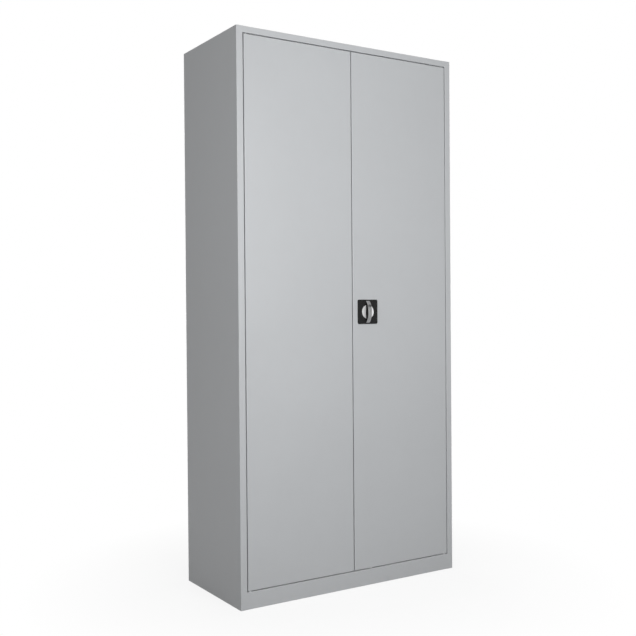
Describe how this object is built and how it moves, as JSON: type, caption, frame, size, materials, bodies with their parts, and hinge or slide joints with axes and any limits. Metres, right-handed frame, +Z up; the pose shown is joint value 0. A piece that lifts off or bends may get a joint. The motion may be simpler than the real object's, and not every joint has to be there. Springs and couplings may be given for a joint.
{
  "type": "tool cabinet",
  "caption": "Tall two-door steel cabinet on a plinth, with adjustable shelves and a turning handle that works a three-point lock.",
  "frame": {"origin": "centre of the cabinet's footprint on the floor, midway between the side panels and between the doors' front and the back", "axes": "+Z up, the doors face -Y, +X to the right seen from the front"},
  "size_m": [0.92, 0.4388, 1.95],
  "materials": {
    "body_paint": "fine-textured powder coat, light grey",
    "zinc_steel": "bright zinc plate",
    "black_plastic": "fine-grained black moulding",
    "buffer_rubber": "soft black rubber",
    "bright_chrome": "polished",
    "satin_metal": "satin metal",
    "white_nylon": "natural nylon"
  },
  "bodies": {
    "carcass": {"side_panel_left": "body_paint", "side_panel_right": "body_paint", "top_panel": "body_paint", "bottom_panel": "body_paint", "back_panel": "body_paint", "plinth_rear": "body_paint", "shelf_rail_front_left": "body_paint", "shelf_rail_front_right": "body_paint", "shelf_rail_rear_left": "body_paint", "shelf_rail_rear_right": "body_paint", "shelf_1": "body_paint", "shelf_2": "body_paint", "shelf_3": "body_paint", "shelf_4": "body_paint", "shelf_1_brace": "body_paint", "shelf_2_brace": "body_paint", "shelf_3_brace": "body_paint", "shelf_4_brace": "body_paint", "shelf_1_clips": "zinc_steel", "shelf_2_clips": "zinc_steel", "shelf_3_clips": "zinc_steel", "shelf_4_clips": "zinc_steel", "hinge_pins": "zinc_steel", "hinge_washers": "zinc_steel", "door_buffers": "buffer_rubber"},
    "left_door": {"left_door_panel": "body_paint", "left_door_brace": "body_paint", "left_door_bushes": "white_nylon", "strike_plate": "zinc_steel"},
    "right_door": {"right_door_panel": "body_paint", "right_door_brace": "body_paint", "right_door_bushes": "white_nylon", "lock_case": "zinc_steel", "lock_cover": "zinc_steel", "lock_plate": "black_plastic", "lock_screws": "zinc_steel", "rod_guides": "black_plastic"},
    "handle": {"handle_disc": "black_plastic", "handle_dish": "bright_chrome", "handle_grip": "satin_metal", "key_housing": "bright_chrome", "lock_spindle": "zinc_steel", "lock_pinion": "zinc_steel", "spindle_screw": "zinc_steel"},
    "key_plug": {"key_plug": "bright_chrome"},
    "upper_rod": {"upper_rod": "zinc_steel", "upper_rod_tip": "black_plastic"},
    "lower_rod": {"lower_rod": "zinc_steel", "lower_rod_tip": "black_plastic"},
    "centre_bolt": {"centre_bolt": "zinc_steel"}
  },
  "joints": [
    {"name": "left_door_hinge", "type": "hinge", "parent": "carcass", "child": "left_door", "pos_m": [-0.4225, -0.202, 0.06], "axis": [0, 0, -1], "range_deg": [0, 110]},
    {"name": "right_door_hinge", "type": "hinge", "parent": "carcass", "child": "right_door", "pos_m": [0.4225, -0.202, 0.06], "axis": [0, 0, 1], "range_deg": [0, 110]},
    {"name": "handle_turn", "type": "hinge", "parent": "right_door", "child": "handle", "pos_m": [0.0645, -0.21, 0.994], "axis": [0, 1, 0], "range_deg": [0, 90]},
    {"name": "key_turn", "type": "hinge", "parent": "handle", "child": "key_plug", "pos_m": [0.0645, -0.22, 1.014], "axis": [0, 1, 0], "range_deg": [0, 90]},
    {"name": "upper_rod_slide", "type": "slide", "parent": "right_door", "child": "upper_rod", "axis": [0, 0, 1], "range_m": [0, 0.0165]},
    {"name": "lower_rod_slide", "type": "slide", "parent": "right_door", "child": "lower_rod", "axis": [0, 0, -1], "range_m": [0, 0.0165]},
    {"name": "bolt_slide", "type": "slide", "parent": "right_door", "child": "centre_bolt", "axis": [-1, 0, 0], "range_m": [0, 0.0165]}
  ],
  "couplings": [
    {"joint": "upper_rod_slide", "follows": "handle_turn", "m_per_rad": 0.0105},
    {"joint": "lower_rod_slide", "follows": "handle_turn", "m_per_rad": 0.0105},
    {"joint": "bolt_slide", "follows": "handle_turn", "m_per_rad": 0.0105}
  ]
}
